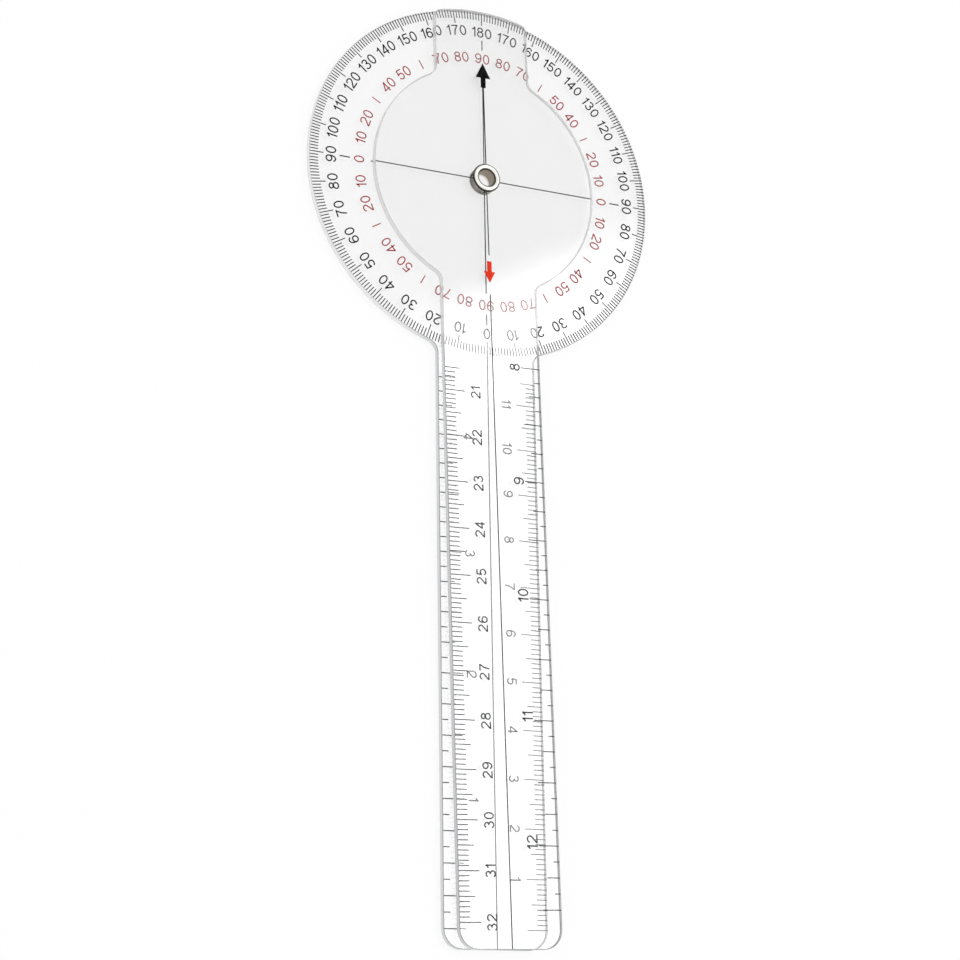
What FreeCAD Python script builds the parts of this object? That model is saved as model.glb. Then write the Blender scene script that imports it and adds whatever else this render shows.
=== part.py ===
# Full-circle goniometer: a clear protractor with a fixed arm, a clear moving arm with a round head,
# and the hollow eyelet they turn on. Each printed scale lies on its plate as a thin layer of ink.
# Frame: +Z up through the pivot, origin on the pivot axis at the underside of the protractor plate,
# both arms folded along -Y. Lengths are in millimetres and angles in degrees.
import FreeCAD
import Part

import math
import os
from enum import IntEnum
from typing import NamedTuple

import Sketcher

SIZES = {
    # Plates
    "plate_thickness": 1.5,
    "plate_gap": 0.2,
    "edge_bevel": 0.15,
    "dial_radius": 41.0,
    "arm_width": 22.7,
    "arm_reach": 165.2,
    "arm_corner": 4.0,
    "dial_fillet": 3.0,
    "head_radius": 26.5,
    "head_fillet": 2.5,
    "tail_setback": 0.3,
    "tail_corner": 1.8,
    "rest_angle": 0.95,
    # Eyelet
    "bore_radius": 1.9,
    "barrel_wall": 0.3,
    "flange_radius": 3.1,
    "flange_thickness": 0.3,
    "throat_round": 0.2,
    "rim_crown": 0.7,
    "seat_clearance": 0.02,
    "running_clearance": 0.05,
    "axial_play": 0.05,
    # Ink
    "ink_thickness": 0.05,
    "ink_margin": 0.15,
    "tick_width": 0.2,
    "line_width": 0.25,
    # Dial print, measured inward from the rim
    "degree_tick": 1.9,
    "ten_degree_tick": 3.1,
    "label_dash_inset": 7.0,
    "label_dash_length": 2.4,
    "angle_mark_inset": 11.6,
    "angle_mark_length": 2.2,
    "angle_mark_width": 0.22,
    "cross_line_inset": 14.25,
    # Rulers on the arms
    "fixed_zero_gap": 3.9,
    "moving_reading_lag": 1.3,
    "moving_end_gap": 4.9,
    "fixed_centimetre_gap": 4.8,
    "fixed_inch_gap": 5.0,
    "moving_centimetre_gap": 3.6,
    "moving_inch_gap": 1.2,
    "millimetre_tick": 2.25,
    "half_centimetre_tick": 3.45,
    "centimetre_tick": 4.5,
    "eighth_inch_tick": 1.3,
    "quarter_inch_tick": 2.8,
    "half_inch_tick": 4.2,
    "inch_tick": 4.5,
    # Pointers: the black one's tip is measured from the dial's rim, the red one's from the head's
    "black_tip_inset": 13.2,
    "black_head_length": 3.6,
    "black_head_width": 3.6,
    "black_shaft_length": 2.4,
    "black_shaft_width": 1.2,
    "red_tip_inset": 1.9,
    "red_head_length": 2.6,
    "red_head_width": 2.7,
    "red_shaft_length": 2.4,
    "red_shaft_width": 1.1,
    "red_foot_gap": 1.4,
    "red_tip_gap": 2.65,
}

# Standard units and circle divisions
MILLIMETRE = 1.0
EIGHTH_INCH = 25.4 / 8
FULL_TURN = 360
TEN_DEGREES = 10
QUARTERS = 4

# How near counts as equal, when an edge is looked up and when a distance is called nothing
TOLERANCE = 0.001
NEARLY_ZERO = 1e-6

# Rows of each ruler: name, spacing and the size that gives the tick's length
METRIC_TICKS = (
    ("Millimetre", MILLIMETRE, "Sizes.millimetre_tick"),
    ("HalfCentimetre", 5 * MILLIMETRE, "Sizes.half_centimetre_tick"),
    ("Centimetre", 10 * MILLIMETRE, "Sizes.centimetre_tick"),
)
INCH_TICKS = (
    ("EighthInch", EIGHTH_INCH, "Sizes.eighth_inch_tick"),
    ("QuarterInch", 2 * EIGHTH_INCH, "Sizes.quarter_inch_tick"),
    ("HalfInch", 4 * EIGHTH_INCH, "Sizes.half_inch_tick"),
    ("Inch", 8 * EIGHTH_INCH, "Sizes.inch_tick"),
)

# Expressions that several pieces share
HALF_WIDTH = "Sizes.arm_width / 2"
INK_EDGE = f"({HALF_WIDTH} - Sizes.ink_margin)"
INK_END = "(Sizes.arm_reach - Sizes.ink_margin)"
INK_RIM = "(Sizes.dial_radius - Sizes.ink_margin)"
TAIL_RADIUS = "(Sizes.dial_radius - Sizes.tail_setback)"
BLACK_TIP = "(Sizes.dial_radius - Sizes.black_tip_inset)"
RED_TIP = "(Sizes.head_radius - Sizes.red_tip_inset)"
FIXED_ZERO = "(Sizes.arm_reach - Sizes.fixed_zero_gap)"
BARREL_RADIUS = "(Sizes.bore_radius + Sizes.barrel_wall)"
RIM_RADIUS = "(Sizes.bore_radius + 2 * Sizes.rim_crown)"
MOVING_LEVEL = "(Sizes.plate_thickness + Sizes.plate_gap)"
RIM_SEAT = f"({MOVING_LEVEL} + Sizes.plate_thickness + Sizes.axial_play)"


class Anchor(IntEnum):
    """The places that a sketch constraint may hold on a piece of geometry."""
    START = 1
    END = 2
    CENTRE = 3


class Datum(IntEnum):
    """A sketch's own origin and axes, as a constraint names them."""
    ORIGIN = -1
    ACROSS_AXIS = -1
    ALONG_AXIS = -2


class Corner(NamedTuple):
    """One corner of an outline: its place, and the centre of the arc that leaves it, if an arc does."""
    across: str
    along: str
    bend: tuple = None
    clockwise: bool = False
    held: tuple = ("DistanceX", "DistanceY")


def size_sheet(doc):
    """Write every driving size into the sheet, one alias to a row."""
    sheet = doc.addObject("Spreadsheet::Sheet", "Sizes")
    for row, (alias, size) in enumerate(SIZES.items(), start=1):
        sheet.set(f"A{row}", alias)
        sheet.set(f"B{row}", str(size))
        sheet.setAlias(f"B{row}", alias)
    doc.recompute()


def new_body(doc, label, level="0", turn=None):
    """A body at a height above the frame's origin, turned about the pivot where a turn is given."""
    body = doc.addObject("PartDesign::Body", label)
    body.Label = label
    body.AllowCompound = True
    body.setExpression("Placement.Base.z", level)
    if turn is not None:
        body.Placement.Rotation = FreeCAD.Rotation(FreeCAD.Vector(0, 0, 1), NEARLY_ZERO)
        body.setExpression("Placement.Rotation.Angle", turn)
    return body


def fixed_print(doc, label):
    """A body for ink on the protractor plate."""
    return new_body(doc, label, "Sizes.plate_thickness")


def moving_print(doc, label):
    """A body for ink on the moving arm."""
    return new_body(doc, label, f"{MOVING_LEVEL} + Sizes.plate_thickness", "Sizes.rest_angle")


def new_sketch(body, name, plane_role="XY_Plane"):
    """An empty sketch on one of the body's own origin planes."""
    sketch = body.newObject("Sketcher::SketchObject", name)
    plane = next(item for item in body.Origin.OriginFeatures if item.Role == plane_role)
    sketch.AttachmentSupport = (plane, [""])
    sketch.MapMode = "FlatFace"
    return sketch


def measure(sketch, expression):
    """The value of an expression of the sheet's sizes."""
    return float(sketch.evalExpression(expression))


def spot(sketch, across, along):
    """The point that two expressions give."""
    return FreeCAD.Vector(measure(sketch, across), measure(sketch, along), 0)


def hold(sketch, piece, end, kind, expression):
    """Tie one coordinate of a point to an expression, measured from the sketch's origin."""
    distance = measure(sketch, expression)
    if abs(distance) < NEARLY_ZERO:
        axis = Datum.ALONG_AXIS if kind == "DistanceX" else Datum.ACROSS_AXIS
        sketch.addConstraint(Sketcher.Constraint("PointOnObject", piece, end, axis))
        return
    if distance > 0:
        constraint = Sketcher.Constraint(kind, Datum.ORIGIN, Anchor.START, piece, end, distance)
    else:
        constraint = Sketcher.Constraint(kind, piece, end, Datum.ORIGIN, Anchor.START, -distance)
        expression = f"-({expression})"
    index = sketch.addConstraint(constraint)
    sketch.setExpression(f"Constraints[{index}]", expression)


def arc_between(start, end, centre, clockwise):
    """The arc from start to end about a centre; sketch arcs always run anticlockwise."""
    first, last = (end, start) if clockwise else (start, end)
    first_angle = math.atan2(first.y - centre.y, first.x - centre.x)
    last_angle = math.atan2(last.y - centre.y, last.x - centre.x)
    if last_angle <= first_angle:
        last_angle += 2 * math.pi
    circle = Part.Circle(centre, FreeCAD.Vector(0, 0, 1), (start - centre).Length)
    return Part.ArcOfCircle(circle, first_angle, last_angle)


def add_outline(sketch, corners):
    """Draw a closed outline and tie each of its corners to the sheet."""
    spots = [spot(sketch, corner.across, corner.along) for corner in corners]
    pieces = []
    for index, corner in enumerate(corners):
        start = spots[index]
        end = spots[(index + 1) % len(spots)]
        if corner.bend is None:
            piece = sketch.addGeometry(Part.LineSegment(start, end), False)
            pieces.append((piece, Anchor.START, Anchor.END))
            continue
        arc = arc_between(start, end, spot(sketch, *corner.bend), corner.clockwise)
        piece = sketch.addGeometry(arc, False)
        first, last = Anchor.START, Anchor.END
        if corner.clockwise:
            first, last = last, first
        pieces.append((piece, first, last))
    for index, (piece, first, last) in enumerate(pieces):
        following, following_first, _ = pieces[(index + 1) % len(pieces)]
        joined = Sketcher.Constraint("Coincident", piece, last, following, following_first)
        sketch.addConstraint(joined)
    for corner, (piece, first, _) in zip(corners, pieces):
        for kind in corner.held:
            hold(sketch, piece, first, kind, corner.across if kind == "DistanceX" else corner.along)
        if corner.bend is not None:
            hold(sketch, piece, Anchor.CENTRE, "DistanceX", corner.bend[0])
            hold(sketch, piece, Anchor.CENTRE, "DistanceY", corner.bend[1])


def add_circle(sketch, radius):
    """Draw a circle about the sketch's origin with its radius tied to the sheet."""
    circle = Part.Circle(FreeCAD.Vector(0, 0, 0), FreeCAD.Vector(0, 0, 1), measure(sketch, radius))
    piece = sketch.addGeometry(circle, False)
    middle = Sketcher.Constraint("Coincident", piece, Anchor.CENTRE, Datum.ORIGIN, Anchor.START)
    sketch.addConstraint(middle)
    index = sketch.addConstraint(Sketcher.Constraint("Radius", piece, measure(sketch, radius)))
    sketch.setExpression(f"Constraints[{index}]", radius)


def rectangle(left, right, low, high):
    """The four corners of an upright rectangle."""
    return [Corner(left, low), Corner(right, low), Corner(right, high), Corner(left, high)]


def add_pad(body, sketch, name, thickness):
    """Raise a sketch into a plate or a layer of ink."""
    pad = body.newObject("PartDesign::Pad", name)
    pad.Profile = sketch
    pad.setExpression("Length", thickness)
    body.Document.recompute()
    return pad


def add_pocket(body, name, radius):
    """Cut the pivot hole through a plate and check that it removed something."""
    before = body.Shape.Volume
    sketch = new_sketch(body, f"{name}Outline")
    add_circle(sketch, radius)
    pocket = body.newObject("PartDesign::Pocket", name)
    pocket.Profile = sketch
    pocket.Type = "ThroughAll"
    pocket.Midplane = True
    body.Document.recompute()
    if body.Shape.Volume >= before:
        raise RuntimeError(f"{name} removed nothing")


def round_uprights(body, name, radius, places):
    """Round the upright edges that stand at the given places."""
    solid = body.Tip
    wanted = [spot(body, across, along) for across, along in places]
    names = []
    for number, edge in enumerate(solid.Shape.Edges, start=1):
        foot = edge.Vertexes[0].Point
        head = edge.Vertexes[-1].Point
        upright = math.hypot(head.x - foot.x, head.y - foot.y) < TOLERANCE < abs(head.z - foot.z)
        near = any(math.hypot(foot.x - place.x, foot.y - place.y) < TOLERANCE for place in wanted)
        if upright and near:
            names.append(f"Edge{number}")
    if len(names) != len(wanted):
        raise RuntimeError(f"{name} found {len(names)} edges of {len(wanted)}")
    fillet = body.newObject("PartDesign::Fillet", name)
    fillet.Base = (solid, names)
    fillet.setExpression("Radius", radius)
    body.Document.recompute()


def bevel_faces(body, name):
    """Bevel the outline of a plate's upper and lower faces."""
    solid = body.Tip
    flats = [
        f"Face{number}"
        for number, face in enumerate(solid.Shape.Faces, start=1)
        if isinstance(face.Surface, Part.Plane) and abs(face.normalAt(0, 0).z) > 1 - TOLERANCE
    ]
    chamfer = body.newObject("PartDesign::Chamfer", name)
    chamfer.Base = (solid, flats)
    chamfer.setExpression("Size", "Sizes.edge_bevel")
    body.Document.recompute()


def circle_height(radius):
    """How far along the arm its side meets a circle about the pivot."""
    return f"sqrt({radius} ^ 2 - ({HALF_WIDTH}) ^ 2)"


def protractor_plate(doc):
    """Disc and fixed arm in one plate, with a hole that grips the eyelet."""
    body = new_body(doc, "protractor_plate")
    disc = new_sketch(body, "DialOutline")
    add_circle(disc, "Sizes.dial_radius")
    add_pad(body, disc, "Dial", "Sizes.plate_thickness")
    arm = new_sketch(body, "FixedArmOutline")
    add_outline(arm, rectangle(f"-{HALF_WIDTH}", HALF_WIDTH, "-Sizes.arm_reach", "0"))
    add_pad(body, arm, "FixedArm", "Sizes.plate_thickness")
    root = f"-{circle_height('Sizes.dial_radius')}"
    round_uprights(body, "DialFillets", "Sizes.dial_fillet",
                   [(f"-{HALF_WIDTH}", root), (HALF_WIDTH, root)])
    round_uprights(body, "FixedArmCorners", "Sizes.arm_corner",
                   [(f"-{HALF_WIDTH}", "-Sizes.arm_reach"), (HALF_WIDTH, "-Sizes.arm_reach")])
    add_pocket(body, "EyeletSeat", f"{BARREL_RADIUS} + Sizes.seat_clearance")
    bevel_faces(body, "PlateBevels")
    return body


def moving_arm(doc):
    """Round head, long arm and short tail in one plate, with a hole that runs on the eyelet."""
    body = new_body(doc, "moving_arm", MOVING_LEVEL, "Sizes.rest_angle")
    head = new_sketch(body, "HeadOutline")
    add_circle(head, "Sizes.head_radius")
    add_pad(body, head, "Head", "Sizes.plate_thickness")
    tail_top = circle_height(TAIL_RADIUS)
    strip = new_sketch(body, "StripOutline")
    add_outline(strip, [
        Corner(f"-{HALF_WIDTH}", "-Sizes.arm_reach"),
        Corner(HALF_WIDTH, "-Sizes.arm_reach"),
        Corner(HALF_WIDTH, tail_top, bend=("0", "0")),
        Corner(f"-{HALF_WIDTH}", tail_top, held=("DistanceX",)),
    ])
    add_pad(body, strip, "Strip", "Sizes.plate_thickness")
    root = circle_height("Sizes.head_radius")
    sides = (f"-{HALF_WIDTH}", HALF_WIDTH)
    round_uprights(body, "HeadFillets", "Sizes.head_fillet",
                   [(side, end) for side in sides for end in (root, f"-{root}")])
    round_uprights(body, "MovingArmCorners", "Sizes.arm_corner",
                   [(side, "-Sizes.arm_reach") for side in sides])
    round_uprights(body, "TailCorners", "Sizes.tail_corner", [(side, tail_top) for side in sides])
    add_pocket(body, "RunningHole", f"{BARREL_RADIUS} + Sizes.running_clearance")
    bevel_faces(body, "ArmBevels")
    return body


def pivot_eyelet(doc):
    """Hollow rivet: a flat flange below, a barrel, and a rim rolled over above the moving arm."""
    body = new_body(doc, "pivot_eyelet")
    profile = new_sketch(body, "EyeletProfile", "XZ_Plane")
    throat_across = "Sizes.bore_radius + Sizes.throat_round"
    throat_along = "-Sizes.flange_thickness + Sizes.throat_round"
    rim_centre = ("Sizes.bore_radius + Sizes.rim_crown", RIM_SEAT)
    add_outline(profile, [
        Corner(throat_across, "-Sizes.flange_thickness", bend=(throat_across, throat_along),
               clockwise=True),
        Corner("Sizes.bore_radius", throat_along, held=("DistanceY",)),
        Corner("Sizes.bore_radius", RIM_SEAT, bend=rim_centre, clockwise=True),
        Corner(RIM_RADIUS, RIM_SEAT, held=("DistanceY",)),
        Corner(BARREL_RADIUS, RIM_SEAT),
        Corner(BARREL_RADIUS, "0"),
        Corner("Sizes.flange_radius", "0"),
        Corner("Sizes.flange_radius", "-Sizes.flange_thickness"),
    ])
    turned = body.newObject("PartDesign::Revolution", "Eyelet")
    turned.Profile = profile
    turned.ReferenceAxis = (profile, ["V_Axis"])
    turned.Angle = FULL_TURN
    doc.recompute()
    return body


def polar_copies(body, pad, sketch, name, copies):
    """Repeat a pad around the pivot at equal angles."""
    pattern = body.newObject("PartDesign::PolarPattern", name)
    pattern.Originals = [pad]
    pattern.Axis = (sketch, ["N_Axis"])
    pattern.Angle = FULL_TURN
    pattern.Occurrences = copies
    body.Tip = pattern
    body.Document.recompute()


def radial_bar(inner, outer, width, angle="0 deg"):
    """A bar that points away from the pivot, at an angle from the sketch's upright axis."""
    reaches = ((inner, -1), (inner, 1), (outer, 1), (outer, -1))
    return [
        Corner(f"({reach}) * sin({angle}) + ({side} * {width} / 2) * cos({angle})",
               f"({reach}) * cos({angle}) - ({side} * {width} / 2) * sin({angle})")
        for reach, side in reaches
    ]


def degree_ticks(doc):
    """A tick at every degree of the rim, with a longer one at every tenth."""
    body = fixed_print(doc, "degree_ticks")
    for name, length, copies in (("Degree", "Sizes.degree_tick", FULL_TURN),
                                 ("TenDegree", "Sizes.ten_degree_tick", FULL_TURN // TEN_DEGREES)):
        sketch = new_sketch(body, f"{name}Outline")
        add_outline(sketch, radial_bar(f"{INK_RIM} - {length}", INK_RIM, "Sizes.tick_width"))
        pad = add_pad(body, sketch, f"{name}Tick", "Sizes.ink_thickness")
        polar_copies(body, pad, sketch, f"{name}Ticks", copies)
    return body


def dial_cross_lines(doc):
    """Four lines from the eyelet to the inner ring of numbers, each with a dash between the rings."""
    body = fixed_print(doc, "dial_cross_lines")
    sketch = new_sketch(body, "CrossOutline")
    start = f"{BARREL_RADIUS} + Sizes.seat_clearance + Sizes.edge_bevel + Sizes.ink_margin"
    reach = "Sizes.dial_radius - Sizes.cross_line_inset"
    dash_end = "Sizes.dial_radius - Sizes.label_dash_inset"
    dash_start = f"{dash_end} - Sizes.label_dash_length"
    add_outline(sketch, radial_bar(start, reach, "Sizes.line_width"))
    add_outline(sketch, radial_bar(dash_start, dash_end, "Sizes.line_width"))
    pad = add_pad(body, sketch, "CrossLine", "Sizes.ink_thickness")
    polar_copies(body, pad, sketch, "CrossLines", QUARTERS)
    return body


def thirty_degree_marks(doc):
    """Short radial marks that stand for 30 and 60 in the inner ring of numbers."""
    body = fixed_print(doc, "thirty_degree_marks")
    sketch = new_sketch(body, "AngleMarkOutline")
    middle = "Sizes.dial_radius - Sizes.angle_mark_inset"
    inner = f"{middle} - Sizes.angle_mark_length / 2"
    outer = f"{middle} + Sizes.angle_mark_length / 2"
    for angle in ("30 deg", "60 deg"):
        add_outline(sketch, radial_bar(inner, outer, "Sizes.angle_mark_width", angle))
    pad = add_pad(body, sketch, "AngleMark", "Sizes.ink_thickness")
    polar_copies(body, pad, sketch, "AngleMarks", QUARTERS)
    return body


def ruler(body, side, ticks, first_place, root_gap):
    """Rows of ticks along one side of an arm, from its free end towards the dial.

    Each row has its own spacing and length; first_place gives the distance of its first tick from
    the pivot, and root_gap is the bare stretch between the dial and the last tick.
    """
    for name, spacing, length in ticks:
        first = first_place(spacing)
        inner = f"{side} * ({INK_EDGE} - {length})"
        outer = f"{side} * {INK_EDGE}"
        sketch = new_sketch(body, f"{name}Outline")
        low = f"-({first}) - Sizes.tick_width / 2"
        high = f"-({first}) + Sizes.tick_width / 2"
        add_outline(sketch, rectangle(inner, outer, low, high))
        pad = add_pad(body, sketch, f"{name}Tick", "Sizes.ink_thickness")
        spaces = f"floor((({first}) - Sizes.dial_radius - {root_gap}) / {spacing})"
        pattern = body.newObject("PartDesign::LinearPattern", f"{name}Ticks")
        pattern.Originals = [pad]
        pattern.Direction = (sketch, ["V_Axis"])
        pattern.setExpression("Length", f"({spaces}) * {spacing}")
        pattern.setExpression("Occurrences", f"({spaces}) + 1")
        body.Tip = pattern
        body.Document.recompute()
    return body


def fixed_first(_spacing):
    """Every row of the fixed arm starts at the scale's zero, near the free end."""
    return FIXED_ZERO


def moving_first(spacing):
    """The moving arm's rows start at the last whole reading before the free end.

    Its readings carry on from the fixed arm's: at the pivot it reads a little less than that one.
    """
    reading = f"({FIXED_ZERO} - Sizes.moving_reading_lag)"
    last = f"{reading} + Sizes.arm_reach - Sizes.moving_end_gap"
    return f"floor(({last}) / {spacing}) * {spacing} - {reading}"


def fixed_arm_centimetre_ticks(doc):
    """Millimetre ruler on the right side of the fixed arm."""
    body = fixed_print(doc, "fixed_arm_centimetre_ticks")
    return ruler(body, 1, METRIC_TICKS, fixed_first, "Sizes.fixed_centimetre_gap")


def fixed_arm_inch_ticks(doc):
    """Eighth-inch ruler on the left side of the fixed arm."""
    body = fixed_print(doc, "fixed_arm_inch_ticks")
    return ruler(body, -1, INCH_TICKS, fixed_first, "Sizes.fixed_inch_gap")


def moving_arm_centimetre_ticks(doc):
    """Millimetre ruler on the left side of the moving arm."""
    body = moving_print(doc, "moving_arm_centimetre_ticks")
    return ruler(body, -1, METRIC_TICKS, moving_first, "Sizes.moving_centimetre_gap")


def moving_arm_inch_ticks(doc):
    """Eighth-inch ruler on the right side of the moving arm."""
    body = moving_print(doc, "moving_arm_inch_ticks")
    return ruler(body, 1, INCH_TICKS, moving_first, "Sizes.moving_inch_gap")


def printed_outlines(body, name, outlines):
    """Print one or more closed outlines in ink."""
    sketch = new_sketch(body, f"{name}Outline")
    for outline in outlines:
        add_outline(sketch, outline)
    add_pad(body, sketch, name, "Sizes.ink_thickness")
    return body


def upright_line(low, high):
    """A line of ink along the middle of an arm."""
    return rectangle("-Sizes.line_width / 2", "Sizes.line_width / 2", low, high)


def fixed_arm_centre_line(doc):
    """Line from the dial's zero tick to the free end."""
    body = fixed_print(doc, "fixed_arm_centre_line")
    return printed_outlines(body, "FixedLine", [upright_line(f"-{INK_END}", f"-{INK_RIM}")])


def moving_arm_centre_line(doc):
    """Line from the eyelet to the free end, broken where the red pointer stands."""
    body = moving_print(doc, "moving_arm_centre_line")
    red_start = f"({RED_TIP} - Sizes.red_head_length - Sizes.red_shaft_length)"
    upper = upright_line(f"-({red_start} - Sizes.red_foot_gap)", f"-({RIM_RADIUS} + Sizes.ink_margin)")
    lower = upright_line(f"-{INK_END}", f"-({RED_TIP} + Sizes.red_tip_gap)")
    return printed_outlines(body, "MovingLine", [upper, lower])


def arrow(sign, tip, colour):
    """Head and shaft of a pointer as half-widths and distances, from the tip to the shaft's foot."""
    base = f"({tip} - Sizes.{colour}_head_length)"
    foot = f"({base} - Sizes.{colour}_shaft_length)"
    head = f"Sizes.{colour}_head_width / 2"
    shaft = f"Sizes.{colour}_shaft_width / 2"
    return [("0", f"{sign} * {tip}"), (head, f"{sign} * {base}"), (shaft, f"{sign} * {base}"),
            (shaft, f"{sign} * {foot}")]


def mirrored(half_outline):
    """Close the right half of an outline with its own mirror image."""
    right = [Corner(across, along) for across, along in half_outline]
    left = [Corner(f"-({across})", along) for across, along in reversed(half_outline) if across != "0"]
    return right + left


def black_pointer(doc):
    """Arrow from the eyelet to the far side of the dial."""
    body = moving_print(doc, "black_pointer")
    half_line = "Sizes.line_width / 2"
    half_outline = arrow(1, BLACK_TIP, "black")
    half_outline.append((half_line, half_outline[-1][1]))
    half_outline.append((half_line, f"{RIM_RADIUS} + Sizes.ink_margin"))
    return printed_outlines(body, "BlackArrow", [mirrored(half_outline)])


def red_pointer(doc):
    """Short arrow that points along the moving arm."""
    body = moving_print(doc, "red_pointer")
    return printed_outlines(body, "RedArrow", [mirrored(arrow(-1, RED_TIP, "red"))])


SUB_PARTS = (
    protractor_plate,
    moving_arm,
    pivot_eyelet,
    degree_ticks,
    dial_cross_lines,
    thirty_degree_marks,
    fixed_arm_centre_line,
    fixed_arm_centimetre_ticks,
    fixed_arm_inch_ticks,
    moving_arm_centre_line,
    moving_arm_centimetre_ticks,
    moving_arm_inch_ticks,
    black_pointer,
    red_pointer,
)


def check(doc, pieces):
    """Stop if a feature failed or a piece has no sound shape."""
    for item in doc.Objects:
        if "Invalid" in item.State or "Error" in item.State:
            raise RuntimeError(f"{item.Name} is {item.State}")
    for piece in pieces:
        if piece.Shape.isNull() or not piece.Shape.isValid() or not piece.Shape.Solids:
            raise RuntimeError(f"{piece.Label} has no sound solid")


def main():
    """Build every piece, check it and write it to its own file."""
    doc = FreeCAD.newDocument("goniometer")
    size_sheet(doc)
    pieces = [make(doc) for make in SUB_PARTS]
    doc.recompute()
    check(doc, pieces)
    os.makedirs("parts", exist_ok=True)
    for piece in pieces:
        piece.Shape.exportStep(os.path.join("parts", f"{piece.Label}.step"))
        box = piece.Shape.BoundBox
        print(f"{piece.Label}: {len(piece.Shape.Solids)} solids, "
              f"x {box.XMin:.2f}..{box.XMax:.2f}, y {box.YMin:.2f}..{box.YMax:.2f}, "
              f"z {box.ZMin:.2f}..{box.ZMax:.2f}")


main()
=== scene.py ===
"""Looks of a clear plastic goniometer: two printed acrylic plates that turn on one hollow nickel eyelet.

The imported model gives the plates, the eyelet and the printed lines. This script adds the printed numbers,
the finish of every piece, and the studio that the instrument lies in. Lengths are in metres, in the model's
frame.
"""

import logging
import math
from collections.abc import Callable, Mapping, Sequence
from dataclasses import dataclass
from enum import Enum
from functools import partial
from typing import ClassVar

import bmesh
import bpy
from mathutils import Euler, Matrix, Vector

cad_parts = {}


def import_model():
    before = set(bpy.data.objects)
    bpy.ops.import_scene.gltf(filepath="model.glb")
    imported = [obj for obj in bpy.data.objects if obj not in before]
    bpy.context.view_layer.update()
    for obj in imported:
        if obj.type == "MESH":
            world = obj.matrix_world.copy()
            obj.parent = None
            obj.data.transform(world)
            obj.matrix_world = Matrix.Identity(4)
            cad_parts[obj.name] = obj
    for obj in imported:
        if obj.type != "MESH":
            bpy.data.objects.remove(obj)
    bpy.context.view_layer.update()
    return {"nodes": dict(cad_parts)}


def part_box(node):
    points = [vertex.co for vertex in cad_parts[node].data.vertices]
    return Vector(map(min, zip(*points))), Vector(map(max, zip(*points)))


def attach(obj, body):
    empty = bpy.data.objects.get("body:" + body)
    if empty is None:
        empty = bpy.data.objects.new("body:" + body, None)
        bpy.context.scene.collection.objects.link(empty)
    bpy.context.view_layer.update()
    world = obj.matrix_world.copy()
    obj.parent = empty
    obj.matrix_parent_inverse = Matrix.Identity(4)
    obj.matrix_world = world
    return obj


log = logging.getLogger("goniometer")

MM = 0.001
STEPS_ROUND_THE_DIAL = 36
INCH = 25.4 * MM
CENTIMETRE = 10 * MM
# An index past the end of every row of numbers, so that none of the row's numbers is shifted.
BEYOND_EVERY_ROW = 99

Point = tuple[float, float]
AddNode = Callable[..., bpy.types.Node]


class Body(Enum):
    """The two rigid bodies of the instrument, by the names that the model gives them."""

    PROTRACTOR = "protractor"
    MOVING_ARM = "moving_arm"


class Slot(Enum):
    """Names of the inks that printed pieces are printed in."""

    BLACK_INK = "black_ink"
    RED_INK = "red_ink"


class Tops(Enum):
    """Which way the tops of a ruler's numbers point, as the turn that puts them there."""

    TOWARDS_RIGHT = -math.pi / 2
    TOWARDS_LEFT = math.pi / 2


# ------------------------------------------------------------------------------
# Node trees and colours
# ------------------------------------------------------------------------------


def linear(hex_colour: str) -> tuple[float, float, float, float]:
    """Turn an sRGB hex colour into Blender's linear colour.

    Args:
        hex_colour: Six hex digits after a #.

    Returns:
        Linear red, green, blue and an alpha of 1.
    """
    channels = [int(hex_colour[i : i + 2], 16) / 255 for i in (1, 3, 5)]
    red, green, blue = (c / 12.92 if c <= 0.04045 else ((c + 0.055) / 1.055) ** 2.4 for c in channels)
    return red, green, blue, 1.0


def add_node(
    tree: bpy.types.NodeTree,
    kind: str,
    inputs: Mapping[int | str, object] | None = None,
    **settings: object,
) -> bpy.types.Node:
    """Add a node to a tree, with its settings and its links.

    Args:
        tree: The tree that the node goes into.
        kind: Blender's name for the kind of node.
        inputs: A value for each input socket, or the output socket that feeds it, by socket name or number.
        settings: The node's own properties.

    Returns:
        The new node.
    """
    node = tree.nodes.new(kind)
    for name, value in settings.items():
        setattr(node, name, value)
    for socket, value in (inputs or {}).items():
        if isinstance(value, bpy.types.NodeSocket):
            tree.links.new(value, node.inputs[socket])
        else:
            node.inputs[socket].default_value = value
    return node


def start_nodes(owner: bpy.types.Material | bpy.types.World | bpy.types.Light) -> AddNode:
    """Give a material, a room or a lamp an empty node tree.

    Args:
        owner: What the tree belongs to.

    Returns:
        The function that adds a node to its tree.
    """
    owner.use_nodes = True
    owner.node_tree.nodes.clear()
    return partial(add_node, owner.node_tree)


# ------------------------------------------------------------------------------
# Finishes
# ------------------------------------------------------------------------------


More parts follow.
